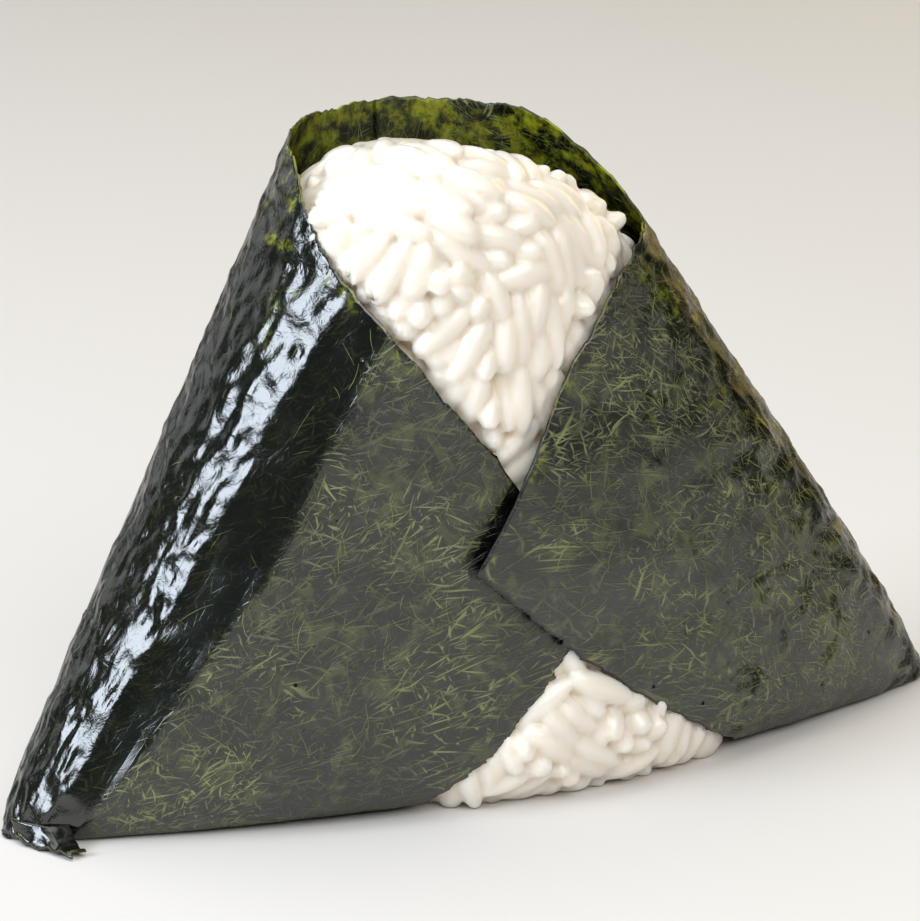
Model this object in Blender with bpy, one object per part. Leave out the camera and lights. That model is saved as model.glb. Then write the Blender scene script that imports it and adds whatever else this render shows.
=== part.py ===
"""A rice ball wrapped in one sheet of nori whose two ends cross over its front like a kimono.

The ball stands on its long base with the crossed front towards -Y. X runs along the base, Z points up
and the origin is the middle of the base. Two solids: the pressed rice and the nori sheet around it.
"""
import math
import random

import bmesh
import bpy
import numpy as np
from mathutils import Vector, noise

MM = 0.001

# The wrap's outer face: a pointed base outline below, an oval collar above, joined by straight lines
BASE_HALF_WIDTH = 58.5 * MM
BASE_HALF_DEPTH = 18.5 * MM
TIP_RADIUS = 5.5 * MM
COLLAR_HALF_WIDTH = 15.3 * MM
COLLAR_HALF_DEPTH = 15.0 * MM
COLLAR_SHIFT = -6.2 * MM
COLLAR_HEIGHT = 72.0 * MM
FOOT_RADIUS = 8.0 * MM
TIP_INSET_SHARE = 0.05
# The upper flap makes the front deeper, so the wrap's own mid-plane stands behind the origin
MIDPLANE = 0.66 * MM

# The nori sheet
NORI_THICKNESS = 0.4 * MM
TUCK = 5.0 * MM
# The right flap stands off the left one, from low on the wall upwards, and its free corner lifts more
FLAP_LIFT = 0.9 * MM
FLAP_LIFT_HEIGHTS = (2.0 * MM, 15.0 * MM)
FLAP_LIFT_COLUMNS = (1.9, 0.8)
CORNER_LIFT = 1.4 * MM
CORNER_LIFT_HEIGHTS = (18.0 * MM, 27.0 * MM)
CORNER_LIFT_COLUMNS = 0.5
RAGGED = 0.45 * MM
LEFT_FLAP_TOP = (-22.0 * MM, 58.5 * MM)
LEFT_FLAP_CORNER = (5.0 * MM, 23.0 * MM)
LEFT_FLAP_FOOT = -16.0 * MM
RIGHT_FLAP_TOP = (14.0 * MM, 60.0 * MM)
RIGHT_FLAP_BOW = (6.0 * MM, 58.0 * MM)
RIGHT_FLAP_CORNER = (-10.3 * MM, 28.0 * MM)
RIGHT_FLAP_FOOT = 26.5 * MM
# Cut edge of the sheet round the collar: the direction it faces in degrees, and its height
COLLAR_EDGE = ((203, 65 * MM), (178, 69.5 * MM), (154, 71 * MM), (90, 72 * MM), (26, 71 * MM),
               (0, 65.5 * MM), (-24, 61 * MM))
BACK_TOP_ANGLES = (140, 40)
FLAP_COLUMNS = 15
END_COLUMNS = 12
BACK_COLUMNS = 14
SHEET_ROWS = 18

# The pressed rice
RICE_INSET = 1.1 * MM
RICE_HALF_WIDTH = 51.0 * MM
RICE_DOME_START = 56.0 * MM
RICE_TOP = 69.6 * MM
RICE_TOP_TILT = 0.18
RICE_BULGE = 1.5 * MM
RICE_EDGE_MARGIN = 0.8 * MM
RICE_OPEN_MARGIN = 3.0 * MM
FLAP_SLANT = 0.8
GRAIN_RELIEF = 0.7 * MM
GRAIN_PITCH = 4.2 * MM
GRAIN_ROWS = (0.8, 0.92)
FORWARD_DEPTHS = (2.0 * MM, 8.0 * MM)
TABLE_CLEARANCE = 0.3 * MM
RICE_SEGMENTS = 76
RICE_RINGS = 46
UNDERSIDE_SHARE = 0.1
DOME_SHARE = 0.3
DOME_FULLNESS = 0.6

NORI_COLOUR = (0.030, 0.040, 0.028, 1.0)
RICE_COLOUR = (0.86, 0.83, 0.75, 1.0)


def mix(start, end, share):
    return start + (end - start) * share


def smooth_step(low, high, value):
    share = min(max((value - low) / (high - low), 0.0), 1.0)
    return share * share * (3 - 2 * share)


def base_outline(angle, half_width):
    """Point of the pointed base outline where its outward normal has the given angle."""
    reach = half_width - TIP_RADIUS
    rise = BASE_HALF_DEPTH - TIP_RADIUS
    arc_radius = (reach ** 2 + rise ** 2) / (2 * rise)
    along, across = math.cos(angle), math.sin(angle)
    if abs(along) > reach / arc_radius:
        x, y = math.copysign(reach, along), 0.0
    else:
        x = arc_radius * along
        y = arc_radius * across - math.copysign(arc_radius - rise, across)
    return x + TIP_RADIUS * along, y + TIP_RADIUS * across


def collar_outline(angle):
    """Point of the oval collar where its outward normal has the given angle."""
    along = COLLAR_HALF_WIDTH * math.cos(angle)
    across = COLLAR_HALF_DEPTH * math.sin(angle)
    size = math.hypot(along, across)
    return COLLAR_SHIFT + COLLAR_HALF_WIDTH * along / size, COLLAR_HALF_DEPTH * across / size


def climb_to(height):
    """Distance up the wrap, from the edge of its flat underside, at which a height is reached."""
    if height >= FOOT_RADIUS:
        return height + FOOT_RADIUS * (math.pi / 2 - 1)
    return FOOT_RADIUS * math.acos(1 - height / FOOT_RADIUS)


def foot_turn(climb):
    """Slope of the wrap's rounded foot at a climb: 0 on the underside, a right angle on the walls."""
    return min(max(climb / FOOT_RADIUS, 0.0), math.pi / 2)


def height_at(climb):
    """Height of the wrap at a climb, the reverse of climb_to."""
    return FOOT_RADIUS * (1 - math.cos(foot_turn(climb))) + max(climb - FOOT_RADIUS * math.pi / 2, 0.0)


def wrap_point(angle, climb, offset=0.0, half_width=BASE_HALF_WIDTH):
    """Point of the wrap, or of a surface lying `offset` outside it.

    climb is the distance up the wrap from the edge of its flat underside, negative on the underside.
    """
    turn = foot_turn(climb)
    height = height_at(climb)
    rise = height / COLLAR_HEIGHT
    base_x, base_y = base_outline(angle, half_width)
    collar_x, collar_y = collar_outline(angle)
    x = mix(base_x, collar_x, rise) + offset * math.sin(turn) * math.cos(angle)
    y = mix(base_y, collar_y, rise) + offset * math.sin(turn) * math.sin(angle)
    half_depth = mix(BASE_HALF_DEPTH, COLLAR_HALF_DEPTH, rise)
    tucked = (FOOT_RADIUS * (1 - math.sin(turn)) - min(climb, 0.0)) / half_depth
    return Vector((x * (1 - tucked * TIP_INSET_SHARE), y * (1 - tucked), height - offset * math.cos(turn)))


def front_angle(x, height):
    """Angle of the outward normal where the wrap's front passes x at a height, found by halving."""
    low, high = math.radians(185), math.radians(355)
    for _ in range(30):
        middle = (low + high) / 2
        if wrap_point(middle, climb_to(height)).x < x:
            low = middle
        else:
            high = middle
    return (low + high) / 2


def end_angle():
    """Half the range of normals that the base's long front or back arc covers."""
    reach = BASE_HALF_WIDTH - TIP_RADIUS
    rise = BASE_HALF_DEPTH - TIP_RADIUS
    return math.asin(2 * rise * reach / (reach ** 2 + rise ** 2))


def bow(start, control, end, share):
    """Point of a curve that leaves start and reaches end, drawn towards the control point."""
    first = [mix(start[i], control[i], share) for i in (0, 1)]
    last = [mix(control[i], end[i], share) for i in (0, 1)]
    return [mix(first[i], last[i], share) for i in (0, 1)]


def left_flap_edge(share):
    """Top edge of the left flap from its corner (0) up to the left shoulder (1)."""
    return [mix(LEFT_FLAP_CORNER[i], LEFT_FLAP_TOP[i], share) for i in (0, 1)]


def right_flap_edge(share):
    """Top edge of the right flap from the right shoulder (0) down to its corner (1)."""
    return bow(RIGHT_FLAP_TOP, RIGHT_FLAP_BOW, RIGHT_FLAP_CORNER, share)


def sheet_columns():
    """For each column of the sheet, left flap to right flap: foot angle, top angle and top height."""
    turn = 2 * math.pi
    arc = end_angle()
    left_foot = front_angle(LEFT_FLAP_FOOT, 0.0)
    right_foot = front_angle(RIGHT_FLAP_FOOT, 0.0) - turn
    left_end, right_end = 1.5 * math.pi - arc, -0.5 * math.pi + arc
    columns = []
    for i in range(FLAP_COLUMNS):
        share = i / FLAP_COLUMNS
        x, height = left_flap_edge(share)
        columns.append((mix(left_foot, left_end, share), front_angle(x, height), height))
    shoulder_angle = front_angle(*LEFT_FLAP_TOP)
    far_shoulder_angle = front_angle(*RIGHT_FLAP_TOP) - turn
    edge_angles = [shoulder_angle] + [math.radians(a) for a, _ in COLLAR_EDGE] + [far_shoulder_angle]
    edge_heights = [LEFT_FLAP_TOP[1]] + [h for _, h in COLLAR_EDGE] + [RIGHT_FLAP_TOP[1]]
    feet = [(left_end, math.pi / 2 + arc, END_COLUMNS), (math.pi / 2 + arc, math.pi / 2 - arc, BACK_COLUMNS),
            (math.pi / 2 - arc, right_end, END_COLUMNS)]
    tops = [shoulder_angle, *(math.radians(a) for a in BACK_TOP_ANGLES), far_shoulder_angle]
    for (foot_start, foot_end, count), top_start, top_end in zip(feet, tops, tops[1:]):
        for i in range(count):
            top_angle = mix(top_start, top_end, i / count)
            height = float(np.interp(-top_angle, [-a for a in edge_angles], edge_heights))
            columns.append((mix(foot_start, foot_end, i / count), top_angle, height))
    for i in range(FLAP_COLUMNS + 1):
        share = i / FLAP_COLUMNS
        x, height = right_flap_edge(share)
        columns.append((mix(right_end, right_foot, share), front_angle(x, height) - turn, height))
    return columns


def flap_offset(column, column_count, height):
    """How far the sheet stands off: the right flap lies over the left one and its corner lifts."""
    start, full = (column_count - share * FLAP_COLUMNS for share in FLAP_LIFT_COLUMNS)
    over = smooth_step(start, full, column) * smooth_step(*FLAP_LIFT_HEIGHTS, height)
    corner = smooth_step(column_count - CORNER_LIFT_COLUMNS * FLAP_COLUMNS, column_count, column)
    return FLAP_LIFT * over + CORNER_LIFT * corner * smooth_step(*CORNER_LIFT_HEIGHTS, height)


def material(name, colour, roughness):
    made = bpy.data.materials.new(name)
    made.use_nodes = True
    shader = made.node_tree.nodes["Principled BSDF"]
    shader.inputs["Base Color"].default_value = colour
    shader.inputs["Roughness"].default_value = roughness
    return made


def add_object(name, mesh_builder, finish):
    mesh = bpy.data.meshes.new(name)
    mesh_builder.to_mesh(mesh)
    mesh_builder.free()
    mesh.materials.append(finish)
    mesh.shade_smooth()
    made = bpy.data.objects.new(name, mesh)
    made.location.y = MIDPLANE
    bpy.context.collection.objects.link(made)
    return made


def make_nori():
    """The sheet, from its hem under the base to its cut edge, as a shell of even thickness."""
    columns = sheet_columns()
    last = len(columns) - 1
    cut = random.Random(5)
    raggedness = [cut.uniform(-RAGGED, 0.0) for _ in columns]
    sheet = bmesh.new()
    bmesh.ops.create_grid(sheet, x_segments=last, y_segments=SHEET_ROWS, size=1.0)
    for vertex in sheet.verts:
        column = round((vertex.co.x + 1) / 2 * last)
        row = (vertex.co.y + 1) / 2
        foot_angle, top_angle, top_height = columns[column]
        top_climb = climb_to(top_height + raggedness[column])
        climb = mix(-TUCK, top_climb, row)
        height = height_at(climb)
        angle = mix(foot_angle, top_angle, height / top_height)
        vertex.co = wrap_point(angle, climb, flap_offset(column, last, height))
    bmesh.ops.recalc_face_normals(sheet, faces=sheet.faces)
    heart = Vector((0, 0, RICE_DOME_START / 2))
    outward = sum(face.normal.dot(face.calc_center_median() - heart) for face in sheet.faces)
    if outward < 0:
        bmesh.ops.reverse_faces(sheet, faces=sheet.faces)
    bmesh.ops.triangulate(sheet, faces=sheet.faces)
    nori = add_object("nori_wrap", sheet, material("nori", NORI_COLOUR, 0.42))
    shell = nori.modifiers.new("thickness", 'SOLIDIFY')
    shell.thickness = NORI_THICKNESS
    shell.offset = -1.0
    return nori


def openness(point):
    """1 where the rice shows between the flaps, fading to 0 under the nori and towards the middle."""
    neck = max(point.z, RIGHT_FLAP_CORNER[1])
    left_share = (neck - LEFT_FLAP_CORNER[1]) / (LEFT_FLAP_TOP[1] - LEFT_FLAP_CORNER[1])
    left_x = mix(LEFT_FLAP_CORNER[0], LEFT_FLAP_TOP[0], left_share)
    edge = [right_flap_edge(i / 12) for i in range(13)]
    right_x = float(np.interp(neck, [z for _, z in reversed(edge)], [x for x, _ in reversed(edge)]))
    inside_neck = min(point.x - left_x, right_x - point.x)
    foot_left = mix(LEFT_FLAP_FOOT, LEFT_FLAP_CORNER[0], point.z / LEFT_FLAP_CORNER[1])
    foot_right = mix(RIGHT_FLAP_FOOT, RIGHT_FLAP_CORNER[0], point.z / RIGHT_FLAP_CORNER[1])
    inside_foot = min(point.x - foot_left, foot_right - point.x)
    inside = FLAP_SLANT * max(inside_neck, inside_foot)
    forward = smooth_step(*FORWARD_DEPTHS, -point.y)
    return forward * smooth_step(RICE_EDGE_MARGIN, RICE_EDGE_MARGIN + RICE_OPEN_MARGIN, inside)


def even_angles(count):
    """Normal angles that divide the outline at mid-height into equal lengths, from the +X end round."""
    fine = [2 * math.pi * i / 720 for i in range(721)]
    middle = [wrap_point(angle, climb_to(COLLAR_HEIGHT / 2)) for angle in fine]
    lengths = np.cumsum([0.0] + [(b - a).length for a, b in zip(middle, middle[1:])])
    return [float(np.interp(lengths[-1] * i / count, lengths, fine)) for i in range(count)]


def rice_point(angle, row):
    """Smooth surface of the rice, from the middle of its underside (row 0) to its top (row 1)."""
    if row < UNDERSIDE_SHARE:
        rim = wrap_point(angle, 0.0, -RICE_INSET, RICE_HALF_WIDTH)
        share = row / UNDERSIDE_SHARE
        return Vector((rim.x * share, rim.y * share, rim.z))
    if row < 1 - DOME_SHARE:
        share = (row - UNDERSIDE_SHARE) / (1 - DOME_SHARE - UNDERSIDE_SHARE)
        return wrap_point(angle, share * climb_to(RICE_DOME_START), -RICE_INSET, RICE_HALF_WIDTH)
    turn = (row - 1 + DOME_SHARE) / DOME_SHARE * math.pi / 2
    rise = (RICE_TOP - RICE_DOME_START) * math.sin(turn)
    wall = wrap_point(angle, climb_to(RICE_DOME_START + rise), -RICE_INSET, RICE_HALF_WIDTH)
    narrowing = math.cos(turn) ** DOME_FULLNESS
    x = mix(COLLAR_SHIFT, wall.x, narrowing)
    tilt = RICE_TOP_TILT * (x - COLLAR_SHIFT) * math.sin(turn)
    return Vector((x, wall.y * narrowing, wall.z - tilt))


def make_rice():
    """The pressed rice, out to the uneven outline of its grains where the nori leaves it bare."""
    angles = even_angles(RICE_SEGMENTS)
    ball = bmesh.new()
    bmesh.ops.create_uvsphere(ball, u_segments=RICE_SEGMENTS, v_segments=RICE_RINGS, radius=1.0)
    places = {}
    for vertex in ball.verts:
        segment = round(math.atan2(vertex.co.y, vertex.co.x) / (2 * math.pi) * RICE_SEGMENTS)
        row = math.acos(max(-1.0, min(1.0, -vertex.co.z))) / math.pi
        places[vertex] = (angles[segment % RICE_SEGMENTS], row)
    for vertex, (angle, row) in places.items():
        vertex.co = rice_point(angle, row)
    ball.normal_update()
    moves = {}
    for vertex, (angle, row) in places.items():
        bare = max(openness(vertex.co), smooth_step(*GRAIN_ROWS, row))
        lump = noise.noise(vertex.co / GRAIN_PITCH)
        moves[vertex] = vertex.normal * (RICE_BULGE * openness(vertex.co) + GRAIN_RELIEF * bare * lump)
    for vertex, move in moves.items():
        vertex.co += move
        vertex.co.z = max(vertex.co.z, TABLE_CLEARANCE)
    bmesh.ops.triangulate(ball, faces=ball.faces)
    return add_object("rice_ball", ball, material("rice", RICE_COLOUR, 0.5))


def main():
    for old in list(bpy.data.objects):
        bpy.data.objects.remove(old)
    make_rice()
    make_nori()


main()
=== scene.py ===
"""A rice ball folded into a nori sheet like a kimono, with real grains and felted strands, and a studio.

The crossed front faces -Y, the long base lies along X, and everything stands on Z = 0.
"""

import math

import bmesh
import bpy
import numpy as np
from bpy.props import FloatProperty, FloatVectorProperty, IntProperty, PointerProperty
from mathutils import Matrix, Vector, noise
from mathutils.bvhtree import BVHTree
from mathutils.kdtree import KDTree


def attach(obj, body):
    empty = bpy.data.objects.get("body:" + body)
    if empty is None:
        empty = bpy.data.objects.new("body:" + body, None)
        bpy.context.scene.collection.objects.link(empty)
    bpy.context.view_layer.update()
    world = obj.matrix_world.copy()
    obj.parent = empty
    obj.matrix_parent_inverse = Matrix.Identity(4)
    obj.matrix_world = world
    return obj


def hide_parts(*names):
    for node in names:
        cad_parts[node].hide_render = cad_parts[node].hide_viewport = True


bl_info = {
    "name": "Kimono Rice Ball",
    "version": (1, 0, 0),
    "blender": (4, 5, 0),
    "location": "3D View > Sidebar > Rice Ball",
    "description": "Builds a nori-wrapped rice ball around its packed solids",
    "category": "Object",
}

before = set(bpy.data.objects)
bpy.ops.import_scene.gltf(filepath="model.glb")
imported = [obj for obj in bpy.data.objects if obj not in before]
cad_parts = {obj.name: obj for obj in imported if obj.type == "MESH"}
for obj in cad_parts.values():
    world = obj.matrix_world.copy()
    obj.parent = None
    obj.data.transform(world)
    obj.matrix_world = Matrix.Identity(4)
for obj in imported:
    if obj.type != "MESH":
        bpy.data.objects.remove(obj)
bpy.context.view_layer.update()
MM = 0.001

# The wrap's outer face, as the solids have it: a pointed base outline, an oval collar, a rounded foot
BASE_HALF_WIDTH = 58.5 * MM
BASE_HALF_DEPTH = 18.5 * MM
TIP_RADIUS = 5.5 * MM
COLLAR_HALF_WIDTH = 15.3 * MM
COLLAR_HALF_DEPTH = 15.0 * MM
COLLAR_SHIFT = -6.2 * MM
COLLAR_HEIGHT = 72.0 * MM
FOOT_RADIUS = 8.0 * MM
TIP_INSET_SHARE = 0.05
MIDPLANE = 0.66 * MM

# The sheet's outline
TUCK = 5.0 * MM
FLAP_LIFT = 0.9 * MM
CORNER_LIFT = 1.4 * MM
LEFT_FLAP_TOP = (-22.0 * MM, 58.5 * MM)
LEFT_FLAP_CORNER = (5.0 * MM, 23.0 * MM)
LEFT_FLAP_FOOT = -16.0 * MM
RIGHT_FLAP_TOP = (14.0 * MM, 60.0 * MM)
RIGHT_FLAP_BOW = (6.0 * MM, 58.0 * MM)
RIGHT_FLAP_CORNER = (-10.3 * MM, 28.0 * MM)
RIGHT_FLAP_FOOT = 26.5 * MM
COLLAR_EDGE = ((203, 65 * MM), (178, 69.5 * MM), (154, 71 * MM), (90, 72 * MM), (26, 71 * MM),
               (0, 65.5 * MM), (-24, 61 * MM))
FOLD_HEIGHTS = (0.0, 30 * MM, 60 * MM)
FOLD_X = (-52.0 * MM, -30.3 * MM, -15.0 * MM)
FOLD_TILT = math.radians(17)
STRAND_KNOTS = 4
TURN = 2 * math.pi

# The rice under it
RICE_HALF_WIDTH = 51.0 * MM
RICE_DOME_START = 56.0 * MM
RICE_TOP = 69.6 * MM
RICE_TOP_TILT = 0.18
DOME_FULLNESS = 0.6
UNDERSIDE_SHARE = 0.1
DOME_SHARE = 0.3
GRAIN_TRIANGLES = 185000


class RiceSettings(bpy.types.PropertyGroup):
    """Sizes and colours of the cooked rice."""

    grain_length: FloatProperty(
        name="Grain Length", description="Length of a cooked grain from end to end",
        default=7.0 * MM, min=4 * MM, max=10 * MM, unit='LENGTH')
    grain_width: FloatProperty(
        name="Grain Width", description="Width of a cooked grain across its middle",
        default=3.4 * MM, min=1.5 * MM, max=5 * MM, unit='LENGTH')
    grain_count: IntProperty(
        name="Grains", description="How many grains lie on the bare parts of the ball",
        default=640, min=50, max=1200)
    fineness: FloatProperty(
        name="Fineness", description="Size of the steps in which the grains' joint skin is made",
        default=0.31 * MM, min=0.2 * MM, max=1 * MM, unit='LENGTH')
    grain_colour: FloatVectorProperty(
        name="Grain Colour", description="Colour of a cooked grain",
        default=(0.875, 0.82, 0.735), size=3, subtype='COLOR', min=0.0, max=1.0)
    # The paste colour is also painted into the grains' seams and sunk places as shade.
    paste_and_shade_colour: FloatVectorProperty(
        name="Paste Colour", description="Colour of the pressed rice between the grains",
        default=(0.83, 0.73, 0.55), size=3, subtype='COLOR', min=0.0, max=1.0)


class NoriSettings(bpy.types.PropertyGroup):
    """Sizes and colours of the nori sheet."""

    thickness: FloatProperty(
        name="Thickness", description="Thickness of the sheet",
        default=0.25 * MM, min=0.1 * MM, max=0.5 * MM, unit='LENGTH')
    crinkle: FloatProperty(
        name="Crinkle", description="Height of the crinkles on the folded ends",
        default=0.40 * MM, min=0.0, max=1 * MM, unit='LENGTH')
    ragged: FloatProperty(
        name="Ragged Edge", description="Depth of the nicks in the cut edge",
        default=0.45 * MM, min=0.0, max=2 * MM, unit='LENGTH')
    strand_count: IntProperty(
        name="Strands", description="How many felted strands show on the sheet",
        default=6800, min=0, max=7000)
    strand_width: FloatProperty(
        name="Strand Width", description="Width of a felted strand",
        default=0.085 * MM, min=0.05 * MM, max=0.5 * MM, unit='LENGTH')
    dark_colour: FloatVectorProperty(
        name="Dark Colour", description="Colour of the sheet where it is thick",
        default=(0.0045, 0.0065, 0.0035), size=3, subtype='COLOR', min=0.0, max=1.0)
    felt_colour: FloatVectorProperty(
        name="Felt Colour", description="Colour of the sheet where its felt is thinner",
        default=(0.070, 0.082, 0.022), size=3, subtype='COLOR', min=0.0, max=1.0)
    strand_colour: FloatVectorProperty(
        name="Strand Colour", description="Colour of the palest strands",
        default=(0.27, 0.30, 0.10), size=3, subtype='COLOR', min=0.0, max=1.0)
    thin_colour: FloatVectorProperty(
        name="Thin Colour", description="Colour where light comes through a thin place",
        default=(0.24, 0.26, 0.012), size=3, subtype='COLOR', min=0.0, max=1.0)


class StudioSettings(bpy.types.PropertyGroup):
    """The floor, the lights and the camera."""

    floor_size: FloatProperty(
        name="Floor Size", description="Side of the square floor",
        default=6.0, min=1.0, max=20.0, unit='LENGTH')
    floor_colour: FloatVectorProperty(
        name="Floor Colour", description="Colour of the floor",
        default=(0.70, 0.68, 0.66), size=3, subtype='COLOR', min=0.0, max=1.0)
    camera_turn: FloatProperty(
        name="Camera Turn", description="How far the camera stands round to the left of the front",
        default=math.radians(26.7), min=-math.pi, max=math.pi, subtype='ANGLE')
    camera_rise: FloatProperty(
        name="Camera Rise", description="Angle by which the camera looks down",
        default=math.radians(17.0), min=-math.pi / 2, max=math.pi / 2, subtype='ANGLE')
    camera_distance: FloatProperty(
        name="Camera Distance", description="Distance from the camera to what it looks at",
        default=0.43, min=0.1, max=5.0, unit='LENGTH')


def mix(start, end, share):
    return start + (end - start) * share


def ease(low, high, value):
    """0 at low and before it, 1 at high and past it, and a smooth step between them."""
    share = np.clip((value - low) / (high - low), 0.0, 1.0)
    return share * share * (3 - 2 * share)


def stack(x, y, z):
    return np.stack(np.broadcast_arrays(x, y, z), axis=-1)


# ---------------------------------------------------------------- the wrap's form

def base_outline(angle, half_width):
    """Points of the pointed base outline where its outward normal has the given angles."""
    reach = half_width - TIP_RADIUS
    rise = BASE_HALF_DEPTH - TIP_RADIUS
    arc_radius = (reach ** 2 + rise ** 2) / (2 * rise)
    along, across = np.cos(angle), np.sin(angle)
    tip = np.abs(along) > reach / arc_radius
    x = np.where(tip, np.sign(along) * reach, arc_radius * along)
    y = np.where(tip, 0.0, arc_radius * across - np.sign(across) * (arc_radius - rise))
    return x + TIP_RADIUS * along, y + TIP_RADIUS * across


def collar_outline(angle):
    along = COLLAR_HALF_WIDTH * np.cos(angle)
    across = COLLAR_HALF_DEPTH * np.sin(angle)
    size = np.hypot(along, across)
    return COLLAR_SHIFT + COLLAR_HALF_WIDTH * along / size, COLLAR_HALF_DEPTH * across / size


def climb_to(height):
    """Distance up the wrap, from the edge of its flat underside, at which a height is reached."""
    foot = FOOT_RADIUS * np.arccos(np.clip(1 - height / FOOT_RADIUS, 0.0, 1.0))
    return np.where(height >= FOOT_RADIUS, height + FOOT_RADIUS * (math.pi / 2 - 1), foot)


def foot_turn(climb):
    return np.clip(climb / FOOT_RADIUS, 0.0, math.pi / 2)


def height_at(climb):
    wall = np.maximum(climb - FOOT_RADIUS * math.pi / 2, 0.0)
    return FOOT_RADIUS * (1 - np.cos(foot_turn(climb))) + wall


def wrap_points(angle, climb, offset=0.0, half_width=BASE_HALF_WIDTH):
    """Points of the wrap, or of a surface lying `offset` outside it."""
    turn = foot_turn(climb)
    height = height_at(climb)
    rise = height / COLLAR_HEIGHT
    base_x, base_y = base_outline(angle, half_width)
    collar_x, collar_y = collar_outline(angle)
    x = mix(base_x, collar_x, rise) + offset * np.sin(turn) * np.cos(angle)
    y = mix(base_y, collar_y, rise) + offset * np.sin(turn) * np.sin(angle)
    half_depth = mix(BASE_HALF_DEPTH, COLLAR_HALF_DEPTH, rise)
    tucked = (FOOT_RADIUS * (1 - np.sin(turn)) - np.minimum(climb, 0.0)) / half_depth
    x = x * (1 - tucked * TIP_INSET_SHARE)
    y = y * (1 - tucked) + MIDPLANE
    return stack(x, y, height - offset * np.cos(turn))


def wrap_normals(angle, climb):
    """Outward normals of the wrap, from the way it runs round and up."""
    step = 0.002
    around = wrap_points(angle + step, climb) - wrap_points(angle - step, climb)
    up = wrap_points(angle, climb + 0.3 * MM) - wrap_points(angle, climb - 0.3 * MM)
    normal = np.cross(around, up)
    return normal / np.linalg.norm(normal, axis=-1, keepdims=True)


def front_angle(x, height):
    """Angles of the outward normal where the wrap's front passes x at a height, found by halving."""
    low = np.full(np.shape(x), math.radians(185))
    high = np.full(np.shape(x), math.radians(355))
    for _ in range(30):
        middle = (low + high) / 2
        short = wrap_points(middle, climb_to(height))[..., 0] < x
        low, high = np.where(short, middle, low), np.where(short, high, middle)
    return (low + high) / 2


def arc_half_range():
    """Half the range of normals that the base's long front or back arc covers."""
    reach = BASE_HALF_WIDTH - TIP_RADIUS
    rise = BASE_HALF_DEPTH - TIP_RADIUS
    return math.asin(2 * rise * reach / (reach ** 2 + rise ** 2))


def left_flap_edge(share):
    """x and height of the left flap's top edge, from its corner (0) up to the shoulder (1)."""
    return tuple(mix(LEFT_FLAP_CORNER[i], LEFT_FLAP_TOP[i], share) for i in (0, 1))


def right_flap_edge(share):
    """x and height of the right flap's top edge, from the shoulder (0) down to its corner (1)."""
    first = [mix(RIGHT_FLAP_TOP[i], RIGHT_FLAP_BOW[i], share) for i in (0, 1)]
    last = [mix(RIGHT_FLAP_BOW[i], RIGHT_FLAP_CORNER[i], share) for i in (0, 1)]
    return tuple(mix(first[i], last[i], share) for i in (0, 1))


def collar_height(angle):
    """Height of the sheet's cut edge round the collar, for angles from the left shoulder (203) down."""
    keys = [-math.radians(a) for a, _ in COLLAR_EDGE]
    return np.interp(-angle, keys, [h for _, h in COLLAR_EDGE])


# ---------------------------------------------------------------- shared makers

def make_material(name, roughness, specular=0.5):
    made = bpy.data.materials.new(name)
    made.use_nodes = True
    shader = made.node_tree.nodes["Principled BSDF"]
    shader.inputs["Roughness"].default_value = roughness
    shader.inputs["Specular IOR Level"].default_value = specular
    return made, made.node_tree, shader


def add_node(tree, kind, **settings):
    node = tree.nodes.new(kind)
    for key, value in settings.items():
        if hasattr(node, key):
            setattr(node, key, value)
        else:
            node.inputs[key.replace("_", " ")].default_value = value
    return node


def add_noise(tree, vector, scale, detail=3.0, roughness=0.55, distortion=0.0):
    node = add_node(tree, "ShaderNodeTexNoise", Scale=scale, Detail=detail, Roughness=roughness,
                    Distortion=distortion)
    tree.links.new(vector, node.inputs["Vector"])
    return node.outputs["Fac"]


def add_steps(tree, value, low, high, start=0.0, end=1.0):
    """Maps a value from low..high to start..end with a smooth step."""
    node = add_node(tree, "ShaderNodeMapRange", interpolation_type='SMOOTHSTEP')
    for name, number in (("From Min", low), ("From Max", high), ("To Min", start), ("To Max", end)):
        node.inputs[name].default_value = number
    tree.links.new(value, node.inputs["Value"])
    return node.outputs["Result"]


def add_sum(tree, operation, first, second):
    node = add_node(tree, "ShaderNodeMath", operation=operation)
    for socket, value in zip(node.inputs, (first, second)):
        if isinstance(value, (int, float)):
            socket.default_value = value
        else:
            tree.links.new(value, socket)
    return node.outputs["Value"]


def add_colour_mix(tree, factor, first, second):
    node = add_node(tree, "ShaderNodeMix", data_type='RGBA')
    sockets = (node.inputs["Factor"], node.inputs[6], node.inputs[7])
    for socket, value in zip(sockets, (factor, first, second)):
        if isinstance(value, bpy.types.NodeSocket):
            tree.links.new(value, socket)
        elif isinstance(value, (int, float)):
            socket.default_value = value
        else:
            socket.default_value = (*value[:3], 1.0)
    return node.outputs[2]


def add_bump(tree, shader, height, distance, strength=1.0, under=None):
    bump = add_node(tree, "ShaderNodeBump", Strength=strength, Distance=distance)
    if under:
        tree.links.new(under, bump.inputs["Normal"])
    tree.links.new(height, bump.inputs["Height"])
    tree.links.new(bump.outputs["Normal"], shader.inputs["Normal"])


def add_attribute(tree, name):
    return add_node(tree, "ShaderNodeAttribute", attribute_name=name).outputs["Fac"]


def add_object(name, mesh, *finishes):
    for finish in finishes:
        mesh.materials.append(finish)
    mesh.shade_smooth()
    made = bpy.data.objects.new(name, mesh)
    bpy.context.scene.collection.objects.link(made)
    return made


def move_vertices(builder, places):
    for vertex, place in zip(builder.verts, places):
        vertex.co = place
    builder.normal_update()


def mesh_from(builder, name):
    mesh = bpy.data.meshes.new(name)
    builder.to_mesh(mesh)
    builder.free()
    return mesh


def join_piece(piece, node):
    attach(piece, "root")
    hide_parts(node)


def store(mesh, name, values):
    """Keeps one number per vertex on the mesh, for its material to read."""
    layer = mesh.attributes.new(name, 'FLOAT', 'POINT')
    layer.data.foreach_set("value", np.full(len(mesh.vertices), values, dtype=np.float32))


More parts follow.
